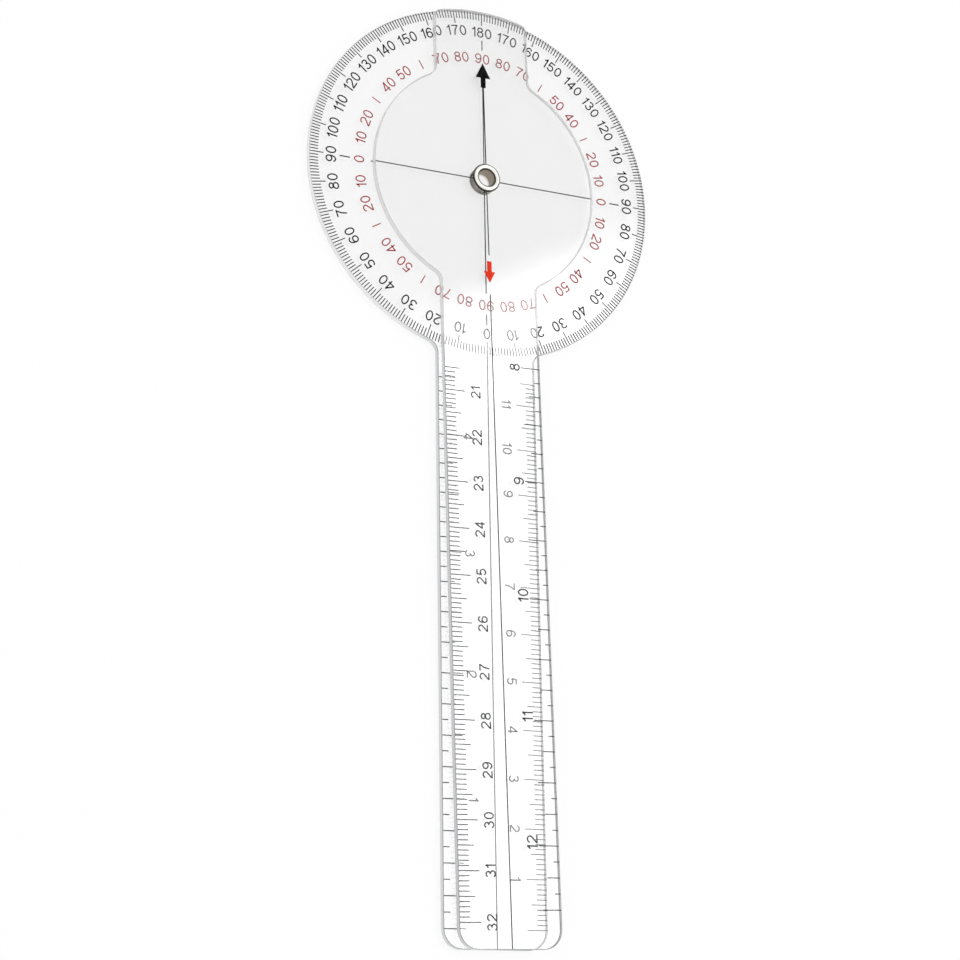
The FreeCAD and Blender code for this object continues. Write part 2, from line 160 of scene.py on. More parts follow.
@dataclass(frozen=True)
class ClearAcrylic:
    """Clear acrylic sheet, cast between polished plates, then cut to shape with a die.

    The faces are as smooth as glass, with a very shallow wave from casting. The cut walls and the small
    bevels along them are partly frosted and tinted grey, a painted shade that draws a fine line along every
    edge of a plate. Round edges are buffed: they let some light straight through and stay pale. The long
    edges of the arms are frosted, scatter light and carry a darker painted shade, so their lines are darker.
    """

    name: str = "clear acrylic sheet"
    face: str = "#F9F9F9"
    buffed_wall: str = "#FCFCFC"
    # Grey painted shade on the bevels of the round edges, which draws their fine line.
    buffed_bevel: str = "#D9D9DB"
    # Painted shade on the arms' long edges: a darker grey on their walls and bevels.
    handled_wall: str = "#E6E7E8"
    handled_bevel: str = "#A2A4A7"
    buffed_to: float = 35 * MM
    handled_from: float = 41 * MM
    lamp_tint: str = "#FCFCFC"
    cut_shadow: str = "#A6A8AA"
    cut_share: float = 0.9
    buffed_frost: float = 0.55
    # How upright a surface's normal stands where a wall turns into a bevel, and a bevel into a face.
    wall_upright: tuple[float, float] = (0.2, 0.55)
    bevel_upright: tuple[float, float] = (0.82, 0.97)
    refraction: float = 1.49
    face_roughness: float = 0.02
    wall_roughness: float = 0.22
    smear_size: float = 9 * MM
    wave_length: float = 24 * MM
    wave_height: float = 0.004 * MM

    def material(self) -> bpy.types.Material:
        """Build the acrylic: clear on its faces, greyer on its cut walls and bevels."""
        material = bpy.data.materials.new(self.name)
        add = start_nodes(material)
        place = add("ShaderNodeTexCoord").outputs["Object"]
        geometry = add("ShaderNodeNewGeometry")
        lie = add("ShaderNodeSeparateXYZ", {0: geometry.outputs["True Normal"]})
        upright = add("ShaderNodeMath", {0: lie.outputs["Z"]}, operation="ABSOLUTE")
        off_wall = add(
            "ShaderNodeMapRange",
            {
                "Value": upright.outputs[0],
                "From Min": self.wall_upright[0],
                "From Max": self.wall_upright[1],
            },
            interpolation_type="SMOOTHSTEP",
        )
        off_bevel = add(
            "ShaderNodeMapRange",
            {
                "Value": upright.outputs[0],
                "From Min": self.bevel_upright[0],
                "From Max": self.bevel_upright[1],
            },
            interpolation_type="SMOOTHSTEP",
        ).outputs[0]
        spot = add("ShaderNodeSeparateXYZ", {0: place})
        # Mask of the darker painted shade on the arms' long edges, by distance down the arm.
        arm_edge_shade = add(
            "ShaderNodeMapRange",
            {"Value": spot.outputs["Y"], "From Min": -self.buffed_to, "From Max": -self.handled_from},
            interpolation_type="SMOOTHSTEP",
        ).outputs[0]
        # The cut edges' grey is partly frosted edge and partly painted shade that draws each edge's line.
        edge = self.edge_colour(add, off_wall.outputs[0], arm_edge_shade)
        sheet = self.glassy_sheet(add, place, off_bevel, edge)
        cut = self.cut_edge(add, arm_edge_shade, edge)
        cut_share = add("ShaderNodeMapRange", {"Value": off_bevel, "To Min": self.cut_share, "To Max": 0.0})
        cut_sheet = add("ShaderNodeMixShader", {0: cut_share.outputs[0], 1: sheet, 2: cut})
        shade = add(
            "ShaderNodeMix",
            {0: off_bevel, 6: linear(self.cut_shadow), 7: linear(self.lamp_tint)},
            data_type="RGBA",
        )
        lamp_side = add("ShaderNodeBsdfTransparent", {"Color": shade.outputs[2]})
        rays = add("ShaderNodeLightPath")
        clear = add(
            "ShaderNodeMixShader",
            {0: rays.outputs["Is Shadow Ray"], 1: cut_sheet.outputs[0], 2: lamp_side.outputs[0]},
        )
        add("ShaderNodeOutputMaterial", {"Surface": clear.outputs[0]})
        return material

    def edge_colour(
        self, add: AddNode, off_wall: bpy.types.NodeSocket, arm_edge_shade: bpy.types.NodeSocket
    ) -> bpy.types.NodeSocket:
        """Colour the cut walls and the bevels with painted shade, darker on the arms' long edges.

        Args:
            add: What adds a node to the acrylic's tree.
            off_wall: 0 on a wall and 1 on a bevel or a face.
            arm_edge_shade: 0 where the edges are buffed and 1 on the arms' long edges, where the painted
                shade is darker.

        Returns:
            The colour of the cut edges.
        """
        wall = add(
            "ShaderNodeMix",
            {0: arm_edge_shade, 6: linear(self.buffed_wall), 7: linear(self.handled_wall)},
            data_type="RGBA",
        )
        bevel = add(
            "ShaderNodeMix",
            {0: arm_edge_shade, 6: linear(self.buffed_bevel), 7: linear(self.handled_bevel)},
            data_type="RGBA",
        )
        edge = add(
            "ShaderNodeMix", {0: off_wall, 6: wall.outputs[2], 7: bevel.outputs[2]}, data_type="RGBA"
        )
        return edge.outputs[2]

    def glassy_sheet(
        self,
        add: AddNode,
        place: bpy.types.NodeSocket,
        off_bevel: bpy.types.NodeSocket,
        edge: bpy.types.NodeSocket,
    ) -> bpy.types.NodeSocket:
        """Build the clear sheet, with faint smears and a shallow wave on its faces.

        Args:
            add: What adds a node to the acrylic's tree.
            place: The spot on the object.
            off_bevel: 0 on a wall or a bevel and 1 on a face.
            edge: The colour of the cut edges.

        Returns:
            The clear shader.
        """
        # The bevels' glass takes the edges' grey, with its painted shade.
        tint = add("ShaderNodeMix", {0: off_bevel, 6: edge, 7: linear(self.face)}, data_type="RGBA")
        smear = add("ShaderNodeTexNoise", {"Vector": place, "Scale": 1 / self.smear_size, "Detail": 3.0})
        face_roughness = add(
            "ShaderNodeMapRange",
            {"Value": smear.outputs[0], "From Min": 0.4, "From Max": 0.8, "To Max": self.face_roughness},
        )
        roughness = add(
            "ShaderNodeMix", {0: off_bevel, 2: self.wall_roughness, 3: face_roughness.outputs[0]}
        )
        wave = add("ShaderNodeTexNoise", {"Vector": place, "Scale": 1 / self.wave_length, "Detail": 1.0})
        ripple = add(
            "ShaderNodeBump", {"Height": wave.outputs[0], "Strength": 1.0, "Distance": self.wave_height}
        )
        sheet = add(
            "ShaderNodeBsdfPrincipled",
            {
                "Base Color": tint.outputs[2],
                "Roughness": roughness.outputs[0],
                "Normal": ripple.outputs[0],
                "IOR": self.refraction,
                "Transmission Weight": 1.0,
            },
        )
        return sheet.outputs[0]

    def cut_edge(
        self, add: AddNode, arm_edge_shade: bpy.types.NodeSocket, edge: bpy.types.NodeSocket
    ) -> bpy.types.NodeSocket:
        """Build the cut edges: frost, and some light straight through where they are buffed.

        Args:
            add: What adds a node to the acrylic's tree.
            arm_edge_shade: 0 where the edges are buffed and 1 on the arms' long edges, where the painted
                shade is darker.
            edge: The colour of the cut edges.

        Returns:
            The shader of the cut edges.
        """
        frost = add("ShaderNodeBsdfDiffuse", {"Color": edge})
        buffed = add("ShaderNodeBsdfTransparent", {"Color": edge})
        scatter = add("ShaderNodeMapRange", {"Value": arm_edge_shade, "To Min": self.buffed_frost})
        cut = add("ShaderNodeMixShader", {0: scatter.outputs[0], 1: buffed.outputs[0], 2: frost.outputs[0]})
        return cut.outputs[0]


@dataclass(frozen=True)
class ScreenInk:
    """Solvent ink squeezed through a screen on to the sheet.

    It dries to a thin satin film, a little uneven where the mesh held more or less ink.
    """

    name: str
    colour: str
    thin_colour: str
    roughness: float = 0.5
    roughness_spread: float = 0.12
    sheen: float = 0.03
    patch: float = 0.7 * MM
    thin_from: float = 0.5
    thin_to: float = 0.72
    mesh_pitch: float = 0.16 * MM
    film_height: float = 0.006 * MM

    def material(self) -> bpy.types.Material:
        """Build the ink: full colour with thinner patches and the faint weave of the screen."""
        material = bpy.data.materials.new(self.name)
        add = start_nodes(material)
        place = add("ShaderNodeTexCoord")
        patches = add(
            "ShaderNodeTexNoise",
            {"Vector": place.outputs["Object"], "Scale": 1 / self.patch, "Detail": 4.0, "Roughness": 0.6},
        )
        thin = add(
            "ShaderNodeMapRange",
            {"Value": patches.outputs[0], "From Min": self.thin_from, "From Max": self.thin_to},
            interpolation_type="SMOOTHSTEP",
        )
        colour = add(
            "ShaderNodeMix",
            {0: thin.outputs[0], 6: linear(self.colour), 7: linear(self.thin_colour)},
            data_type="RGBA",
        )
        roughness = add(
            "ShaderNodeMapRange",
            {
                "Value": patches.outputs[0],
                "To Min": self.roughness - self.roughness_spread,
                "To Max": self.roughness + self.roughness_spread,
            },
        )
        weave = add(
            "ShaderNodeTexVoronoi",
            {"Vector": place.outputs["Object"], "Scale": 1 / self.mesh_pitch, "Randomness": 0.35},
        )
        film = add(
            "ShaderNodeBump",
            {"Height": weave.outputs["Distance"], "Strength": 0.5, "Distance": self.film_height},
        )
        ink = add(
            "ShaderNodeBsdfPrincipled",
            {
                "Base Color": colour.outputs[2],
                "Roughness": roughness.outputs[0],
                "Normal": film.outputs[0],
                "IOR": 1.5,
                "Specular IOR Level": self.sheen,
            },
        )
        add("ShaderNodeOutputMaterial", {"Surface": ink.outputs[0]})
        return material


@dataclass(frozen=True)
class NickelOnBrass:
    """Brass tube rolled over in a press, then nickel plated in a barrel.

    The rolled rims are bright, with fine marks round the axis from the rolling tool. Plating is thin in the
    upper bore, so the brass shows through there as a warm grey. The bore's lower end is painted bright, a
    painted highlight, and a dark ring of painted shade is drawn in the mouth and at the foot of each rim.
    """

    name: str = "barrel nickel plate on brass"
    nickel: str = "#F2EFE8"
    bore: str = "#978B7E"
    # Colour of the painted shade that rings the mouth and the foot of each rim.
    tarnish: str = "#5A5249"
    polished: float = 0.07
    stained: float = 0.21
    stain_size: float = 1.1 * MM
    bore_roughness: float = 0.34
    tool_mark: float = 0.12 * MM
    mark_height: float = 0.002 * MM
    bore_radius: float = 1.9 * MM
    rim_radius: float = 3.3 * MM
    plated_from: float = 0.01 * MM
    plated_to: float = 0.08 * MM
    # Shares of the way from the bore to the rim's outer edge: two rings of painted shade, bright nickel
    # between.
    mouth_ring_to: float = 0.06
    nickel_from: float = 0.17
    nickel_to: float = 0.84
    foot_ring_from: float = 0.95
    # Heights in the bore: a painted nickel-bright highlight up to the first, the bore's own colour from the
    # second.
    bright_to: float = 0.2 * MM
    worn_from: float = 0.8 * MM

    def material(self) -> bpy.types.Material:
        """Build the plating: bright nickel outside, a thin warm one in the bore, and marks round the axis."""
        material = bpy.data.materials.new(self.name)
        add = start_nodes(material)
        place = add("ShaderNodeTexCoord")
        level = add(
            "ShaderNodeVectorMath", {0: place.outputs["Object"], 1: (1.0, 1.0, 0.0)}, operation="MULTIPLY"
        )
        radius = add("ShaderNodeVectorMath", {0: level.outputs[0]}, operation="LENGTH")
        outside_bore = add(
            "ShaderNodeMapRange",
            {
                "Value": radius.outputs["Value"],
                "From Min": self.bore_radius + self.plated_from,
                "From Max": self.bore_radius + self.plated_to,
            },
            interpolation_type="SMOOTHSTEP",
        )
        across = add(
            "ShaderNodeMapRange",
            {"Value": radius.outputs["Value"], "From Min": self.bore_radius, "From Max": self.rim_radius},
        )
        colour = add("ShaderNodeValToRGB", {0: across.outputs[0]})
        # Dark rings of painted shade in the mouth and at the foot of each rim, with bright nickel between.
        rings = (
            (self.mouth_ring_to, self.tarnish),
            (self.nickel_from, self.nickel),
            (self.nickel_to, self.nickel),
            (self.foot_ring_from, self.tarnish),
        )
        for share, shade in rings:
            stop = colour.color_ramp.elements.new(share)
            stop.color = linear(shade)
        colour.color_ramp.elements.remove(colour.color_ramp.elements[0])
        colour.color_ramp.elements.remove(colour.color_ramp.elements[-1])
        height = add("ShaderNodeSeparateXYZ", {0: place.outputs["Object"]})
        # Painted highlight: the bore's lower end is painted nickel-bright. This mask is 0 there and 1 higher
        # up, in the bore's own colour.
        worn = add(
            "ShaderNodeMapRange",
            {"Value": height.outputs["Z"], "From Min": self.bright_to, "From Max": self.worn_from},
            interpolation_type="SMOOTHSTEP",
        )
        lining = add(
            "ShaderNodeMix",
            {0: worn.outputs[0], 6: linear(self.nickel), 7: linear(self.bore)},
            data_type="RGBA",
        )
        plating = add(
            "ShaderNodeMix",
            {0: outside_bore.outputs[0], 6: lining.outputs[2], 7: colour.outputs[0]},
            data_type="RGBA",
        )
        ring = add("ShaderNodeCombineXYZ", {0: radius.outputs["Value"], 1: height.outputs["Z"]})
        marks = add(
            "ShaderNodeTexNoise", {"Vector": ring.outputs[0], "Scale": 1 / self.tool_mark, "Detail": 2.0}
        )
        stain = add(
            "ShaderNodeTexNoise",
            {"Vector": place.outputs["Object"], "Scale": 1 / self.stain_size, "Detail": 3.0},
        )
        polish = add(
            "ShaderNodeMapRange",
            {"Value": stain.outputs[0], "To Min": self.polished, "To Max": self.stained},
        )
        roughness = add(
            "ShaderNodeMix", {0: outside_bore.outputs[0], 2: self.bore_roughness, 3: polish.outputs[0]}
        )
        turned = add(
            "ShaderNodeBump", {"Height": marks.outputs[0], "Strength": 0.6, "Distance": self.mark_height}
        )
        plate = add(
            "ShaderNodeBsdfPrincipled",
            {
                "Base Color": plating.outputs[2],
                "Metallic": 1.0,
                "Roughness": roughness.outputs[0],
                "Normal": turned.outputs[0],
            },
        )
        add("ShaderNodeOutputMaterial", {"Surface": plate.outputs[0]})
        return material


@dataclass(frozen=True)
class FinishSet:
    """Every finish of the instrument, built once and shared by the pieces."""

    clear_plastic: bpy.types.Material
    nickel_plate: bpy.types.Material
    black_ink: bpy.types.Material
    ruler_ink: bpy.types.Material
    worn_ink: bpy.types.Material
    red_ink: bpy.types.Material
    vermilion_ink: bpy.types.Material

    @classmethod
    def build(cls) -> "FinishSet":
        """Build the finishes."""
        return cls(
            clear_plastic=ClearAcrylic().material(),
            nickel_plate=NickelOnBrass().material(),
            black_ink=ScreenInk("black screen ink", "#0A0A0A", "#242424").material(),
            ruler_ink=ScreenInk("thinned black screen ink", "#363839", "#525456").material(),
            worn_ink=ScreenInk("worn black screen ink", "#4A4C4E", "#66686A").material(),
            red_ink=ScreenInk("red screen ink", "#9C1A20", "#BC4048").material(),
            vermilion_ink=ScreenInk("vermilion screen ink", "#E0361E", "#E8583E").material(),
        )


# ------------------------------------------------------------------------------
# Number shapes
# ------------------------------------------------------------------------------


def bow(centre: Point, half_size: Point, start: float, end: float, steps: int = 14) -> list[Point]:
    """Draw part of an oval as points.

    Args:
        centre: The oval's centre.
        half_size: Half its width and half its height.
        start: Angle of the first point, in degrees from the right, counter-clockwise.
        end: Angle of the last point.
        steps: How many straight pieces the bow has.

    Returns:
        The points in order.
    """
    angles = [math.radians(start + (end - start) * i / steps) for i in range(steps + 1)]
    return [(centre[0] + half_size[0] * math.cos(a), centre[1] + half_size[1] * math.sin(a)) for a in angles]


@dataclass(frozen=True)
class DigitPen:
    """Draws digits of one even stroke, each one unit high, as the centre lines of its strokes."""

    weight: float = 0.126
    width: float = 0.65
    gap: float = 0.16
    one_width: float = 0.34

    def strokes(self, digit: str) -> list[list[Point]]:
        """Give the centre lines of a digit's strokes.

        Args:
            digit: One character from 0 to 9.

        Returns:
            A list of strokes, each a list of points. The digit's left edge is at x = 0, its foot at y = 0.
        """
        inset = self.weight / 2
        left, right, middle = inset, self.width - inset, self.width / 2
        foot, top = inset, 1 - inset
        half = middle - inset
        if digit == "0":
            return [bow((middle, 0.5), (half, 0.5 - inset), 90, 450, 26)]
        if digit == "1":
            stem = self.one_width - inset
            return [[(stem, 0.0), (stem, 1.0)], [(0.02, 0.72), (stem - 0.10, 0.80), (stem - 0.01, 0.95)]]
        if digit == "2":
            head = bow((middle, 0.70), (half, top - 0.70), 170, -25, 14)
            neck = [(middle + 0.06, 0.40), (left + 0.04, 0.16), (left, foot)]
            return [head + neck, [(0.0, foot), (self.width, foot)]]
        if digit == "3":
            upper = bow((middle - 0.02, 0.74), (half - 0.03, top - 0.74), 165, -90, 14)
            lower = bow((middle, 0.30), (half, 0.30 - foot), 78, -162, 16)
            return [upper, lower]
        if digit == "4":
            stem = self.width - 0.17
            bar = [(0.0, 0.27), (self.width, 0.27)]
            return [[(stem, 0.0), (stem, 1.0)], [(stem, 0.95), (0.05, 0.29)], bar]
        if digit == "5":
            bowl = bow((middle, 0.33), (half, 0.33 - foot), 140, -160, 18)
            return [[(0.11, top), (self.width - 0.04, top)], [(0.15, top), (0.09, 0.46)], bowl]
        if digit == "6":
            bowl = bow((middle, 0.32), (half, 0.32 - foot), 90, 450, 22)
            back = bow((middle + 0.03, 0.48), (half + 0.03, top - 0.48), 190, 35, 14)
            return [bowl, back]
        if digit == "7":
            leg = [(right, top), (middle + 0.02, 0.52), (middle - 0.1, 0.0)]
            return [[(0.01, top), (self.width, top)], leg]
        if digit == "8":
            upper = bow((middle, 0.75), (half - 0.035, top - 0.75), 90, 450, 20)
            lower = bow((middle, 0.30), (half, 0.30 - foot), 90, 450, 22)
            return [upper, lower]
        return [[(self.width - x, 1 - y) for x, y in stroke] for stroke in self.strokes("6")]

    def advance(self, digit: str) -> float:
        """Give a digit's own width."""
        return self.one_width if digit == "1" else self.width

    def number(self, text: str) -> list[list[Point]]:
        """Give the strokes of a whole number, centred on the origin.

        Args:
            text: The number's digits.

        Returns:
            The strokes of all digits.
        """
        length = sum(self.advance(d) for d in text) + self.gap * (len(text) - 1)
        at = -length / 2
        strokes = []
        for digit in text:
            strokes += [[(x + at, y - 0.5) for x, y in stroke] for stroke in self.strokes(digit)]
            at += self.advance(digit) + self.gap
        return strokes


# A stroke is closed if its ends meet within this share of its width.
CLOSED_WITHIN = 0.01
# A stroke's corner is drawn out no further than at this cosine of half its turn.
MITRE_LIMIT = 0.5


def ink_bar(mesh: bmesh.types.BMesh, path: Sequence[Point], width: float, thickness: float) -> None:
    """Add one printed stroke to a mesh, as a flat closed bar along a path.

    Args:
        mesh: The mesh that the bar goes into.
        path: The bar's centre line, closed if its last point meets its first.
        width: The stroke's width.
        thickness: The height of the ink.
    """
    points = [Vector(p) for p in path]
    closed = (points[0] - points[-1]).length < width * CLOSED_WITHIN
    if closed:
        points = points[:-1]
    count = len(points)
    rows = []
    for i, point in enumerate(points):
        before = points[i - 1] if closed or i else point
        after = points[(i + 1) % count] if closed or i < count - 1 else point
        into = (point - before).normalized() if before != point else (after - point).normalized()
        out = (after - point).normalized() if after != point else into
        along = (into + out).normalized()
        reach = width / 2 / max(along.dot(out), MITRE_LIMIT)
        side = Vector((-along.y, along.x)) * reach
        left, right = point + side, point - side
        section = ((left, 0), (right, 0), (right, thickness), (left, thickness))
        rows.append([mesh.verts.new((*p, z)) for p, z in section])
    for i in range(count if closed else count - 1):
        here, there = rows[i], rows[(i + 1) % count]
        for j in range(4):
            mesh.faces.new((here[j], here[(j + 1) % 4], there[(j + 1) % 4], there[j]))
    if not closed:
        mesh.faces.new(rows[0])
        mesh.faces.new(reversed(rows[-1]))


@dataclass
class NumberLabels:
    """A set of printed numbers, one small mesh for each, which Geometry Nodes then put in their places."""

    name: str
    texts: Sequence[str]
    cap_height: float
    ink_height: float
    pen: DigitPen = DigitPen()

    def build(self) -> bpy.types.Collection:
        """Build the labels as a collection, in their texts' order. An empty text gives an empty label."""
        labels = bpy.data.collections.new(self.name)
        for i, text in enumerate(self.texts):
            shape = bmesh.new()
            for stroke in self.pen.number(text):
                path = [(x * self.cap_height, y * self.cap_height) for x, y in stroke]
                ink_bar(shape, path, self.pen.weight * self.cap_height, self.ink_height)
            bmesh.ops.recalc_face_normals(shape, faces=shape.faces)
            mesh = bpy.data.meshes.new(f"{self.name} {i:02d}")
            shape.to_mesh(mesh)
            shape.free()
            labels.objects.link(bpy.data.objects.new(mesh.name, mesh))
        return labels


# ------------------------------------------------------------------------------
# Geometry Nodes that print the numbers
# ------------------------------------------------------------------------------


@dataclass
class NodeModel:
    """A Geometry Nodes tree with named inputs, run once to give a plain mesh."""

    name: str

    def __post_init__(self) -> None:
        """Start the tree, with a geometry output."""
        self.tree = bpy.data.node_groups.new(self.name, "GeometryNodeTree")
        self.add = partial(add_node, self.tree)
        self.tree.interface.new_socket("Geometry", in_out="OUTPUT", socket_type="NodeSocketGeometry")

    def add_inputs(self, sockets: Mapping[str, str]) -> bpy.types.Node:
        """Add the tree's named inputs.

        Args:
            sockets: The kind of socket for each name.

        Returns:
            The tree's input node.
        """
        for name, kind in sockets.items():
            self.tree.interface.new_socket(name, in_out="INPUT", socket_type=kind)
        return self.tree.nodes.new("NodeGroupInput")

    def close(self, geometry: bpy.types.NodeSocket, material: bpy.types.NodeSocket) -> None:
        """End the tree: real meshes in place of instances, and their material.

        Args:
            geometry: The socket with the placed labels.
            material: The tree's material input.
        """
        real = self.add("GeometryNodeRealizeInstances", {0: geometry})
        dressed = self.add("GeometryNodeSetMaterial", {"Geometry": real.outputs[0], "Material": material})
        self.add("NodeGroupOutput", {0: dressed.outputs[0]})

    def run(self, piece_name: str, values: Mapping[str, object]) -> bpy.types.Object:
        """Run the tree on an empty mesh and keep its result as a plain mesh.

        Args:
            piece_name: The name of the piece that comes out.
            values: A value for each of the tree's named inputs.

        Returns:
            The finished object, at the origin, with no modifier.
        """
        seed = bpy.data.objects.new(piece_name, bpy.data.meshes.new(piece_name))
        bpy.context.scene.collection.objects.link(seed)
        modifier = seed.modifiers.new(self.name, "NODES")
        modifier.node_group = self.tree
        identifiers = {i.name: i.identifier for i in self.tree.interface.items_tree if i.in_out == "INPUT"}
        for name, value in values.items():
            modifier[identifiers[name]] = value
        depsgraph = bpy.context.evaluated_depsgraph_get()
        made = bpy.data.meshes.new_from_object(seed.evaluated_get(depsgraph), depsgraph=depsgraph)
        seed.modifiers.remove(modifier)
        empty = seed.data
        seed.data = made
        bpy.data.meshes.remove(empty)
        made.name = piece_name
        return seed


class DialNumberModel(NodeModel):
    """Numbers at every tenth degree round a dial, which count up, then down again."""

    def __init__(self) -> None:
        """Build the tree: points on a circle, the label that each one takes, and its turn."""
        super().__init__("numbers round a dial")
        add = self.add
        given = self.add_inputs(
            {
                "Labels": "NodeSocketCollection",
                "Stations": "NodeSocketInt",
                "Ring radius": "NodeSocketFloat",
                "Print height": "NodeSocketFloat",
                "Count length": "NodeSocketInt",
                "Count start": "NodeSocketInt",
                "Ink": "NodeSocketMaterial",
            }
        ).outputs
        number = add("GeometryNodeInputIndex").outputs[0]
        step = add("ShaderNodeMath", {0: math.tau, 1: given["Stations"]}, operation="DIVIDE")
        angle = add("ShaderNodeMath", {0: number, 1: step.outputs[0]}, operation="MULTIPLY")
        turn = add("ShaderNodeMath", {0: angle.outputs[0], 1: math.pi}, operation="SUBTRACT")
        rotation = add("ShaderNodeCombineXYZ", {2: turn.outputs[0]})
        upright = add("ShaderNodeCombineXYZ", {1: given["Ring radius"], 2: given["Print height"]})
        spot = add(
            "ShaderNodeVectorRotate",
            {"Vector": upright.outputs[0], "Rotation": rotation.outputs[0]},
            rotation_type="EULER_XYZ",
        )
        stations = add("GeometryNodePoints", {"Count": given["Stations"], "Position": spot.outputs[0]})
        ahead = add("ShaderNodeMath", {0: number, 1: given["Count start"]}, operation="ADD")
        wrapped = add(
            "ShaderNodeMath", {0: ahead.outputs[0], 1: given["Count length"]}, operation="FLOORED_MODULO"
        )
        half = add("ShaderNodeMath", {0: given["Count length"], 1: 2.0}, operation="DIVIDE")
        past = add("ShaderNodeMath", {0: wrapped.outputs[0], 1: half.outputs[0]}, operation="SUBTRACT")
        label = add("ShaderNodeMath", {0: past.outputs[0]}, operation="ABSOLUTE")
        labels = add("GeometryNodeCollectionInfo", {"Collection": given["Labels"], 1: True, 2: True})
        printed = add(
            "GeometryNodeInstanceOnPoints",
            {
                "Points": stations.outputs[0],
                "Instance": labels.outputs[0],
                "Pick Instance": True,
                "Instance Index": label.outputs[0],
                "Rotation": rotation.outputs[0],
            },
        )
        self.close(printed.outputs[0], given["Ink"])


class RulerNumberModel(NodeModel):
    """Numbers in a row along an arm, each at its own long tick."""

    def __init__(self) -> None:
        """Build the tree: points down the arm, one label each, and the arm's own turn about the pivot."""
        super().__init__("numbers along a ruler")
        add = self.add
        given = self.add_inputs(
            {
                "Labels": "NodeSocketCollection",
                "Numbers": "NodeSocketInt",
                "First distance": "NodeSocketFloat",
                "Spacing": "NodeSocketFloat",
                "Row offset": "NodeSocketFloat",
                "Print height": "NodeSocketFloat",
                "Shifted from": "NodeSocketInt",
                "Shift to pivot": "NodeSocketFloat",
                "Label turn": "NodeSocketFloat",
                "Arm turn": "NodeSocketFloat",
                "Ink": "NodeSocketMaterial",
            }
        ).outputs
        number = add("GeometryNodeInputIndex").outputs[0]
        run = add(
            "ShaderNodeMath",
            {0: number, 1: given["Spacing"], 2: given["First distance"]},
            operation="MULTIPLY_ADD",
        )
        late = add(
            "FunctionNodeCompare",
            {2: number, 3: given["Shifted from"]},
            data_type="INT",
            operation="GREATER_EQUAL",
        )
        shift = add(
            "ShaderNodeMath", {0: late.outputs[0], 1: given["Shift to pivot"]}, operation="MULTIPLY"
        )
        distance = add("ShaderNodeMath", {0: run.outputs[0], 1: shift.outputs[0]}, operation="SUBTRACT")
        down = add("ShaderNodeMath", {0: distance.outputs[0], 1: -1.0}, operation="MULTIPLY")
        spot = add(
            "ShaderNodeCombineXYZ", {0: given["Row offset"], 1: down.outputs[0], 2: given["Print height"]}
        )
        stations = add("GeometryNodePoints", {"Count": given["Numbers"], "Position": spot.outputs[0]})
        labels = add("GeometryNodeCollectionInfo", {"Collection": given["Labels"], 1: True, 2: True})
        turn = add("ShaderNodeCombineXYZ", {2: given["Label turn"]})
        printed = add(
            "GeometryNodeInstanceOnPoints",
            {
                "Points": stations.outputs[0],
                "Instance": labels.outputs[0],
                "Pick Instance": True,
                "Instance Index": number,
                "Rotation": turn.outputs[0],
            },
        )
        swing = add("ShaderNodeCombineXYZ", {2: given["Arm turn"]})
        swung = add("GeometryNodeTransform", {"Geometry": printed.outputs[0], "Rotation": swing.outputs[0]})
        self.close(swung.outputs[0], given["Ink"])


# ------------------------------------------------------------------------------
# The instrument
# ------------------------------------------------------------------------------


def dress(piece: bpy.types.Object, material: bpy.types.Material) -> None:
    """Put one material on a whole piece.

    Args:
        piece: The object to dress.
        material: Its finish.
    """
    if not piece.material_slots:
        piece.data.materials.append(material)
    for slot in piece.material_slots:
        slot.material = material
    log.info("%s: %s", piece.name, material.name)


@dataclass
class PrintedBody:
    """One plate with everything printed on it."""

    body: ClassVar[Body]
    plate: ClassVar[str]
    finishes: FinishSet
    nodes: Mapping[str, bpy.types.Object]
    ink_height: float = 0.05 * MM

    @property
    def print_height(self) -> float:
        """Height of the plate's printed face."""
        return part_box(self.plate)[1].z

    @property
    def ruler_ink(self) -> bpy.types.Material:
        """The ink of the arm's rulers and their numbers."""
        raise NotImplementedError

    def inks(self) -> Mapping[str, bpy.types.Material]:
        """Give the ink of each printed node on this plate."""
        raise NotImplementedError

    def dress_nodes(self) -> None:
        """Give the plate and its printed lines their finishes."""
        dress(self.nodes[self.plate], self.finishes.clear_plastic)
        for node, ink in self.inks().items():
            dress(self.nodes[node], ink)

    def keep(self, piece: bpy.types.Object, slot: Slot) -> None:
        """Make a printed piece ride on this body.

        Args:
            piece: The finished piece.
            slot: The ink that it is printed in. Not used.
        """
        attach(piece, self.body.value)
        log.info("%s: %d faces, rides on %s", piece.name, len(piece.data.polygons), self.body.value)


@dataclass
class RulerNumbers:
    """One row of a ruler's numbers."""

    name: str
    texts: Sequence[str]
    first_distance: float
    spacing: float
    row_offset: float
    tops: Tops
    cap_height: float = 2.25 * MM
    shifted_from: int = BEYOND_EVERY_ROW
    shift_to_pivot: float = 0.0

    def build(self, model: RulerNumberModel, body: PrintedBody, arm_turn: float) -> None:
        """Print the row on its plate.

        Args:
            model: The tree that lays the numbers out.
            body: The plate that they are printed on.
            arm_turn: The arm's turn about the pivot at rest.
        """
        piece = model.run(
            self.name,
            {
                "Labels": NumberLabels(self.name, self.texts, self.cap_height, body.ink_height).build(),
                "Numbers": len(self.texts),
                "First distance": self.first_distance,
                "Spacing": self.spacing,
                "Row offset": self.row_offset,
                "Print height": body.print_height,
                "Shifted from": self.shifted_from,
                "Shift to pivot": self.shift_to_pivot,
                "Label turn": self.tops.value,
                "Arm turn": arm_turn,
                "Ink": body.ruler_ink,
            },
        )
        body.keep(piece, Slot.BLACK_INK)


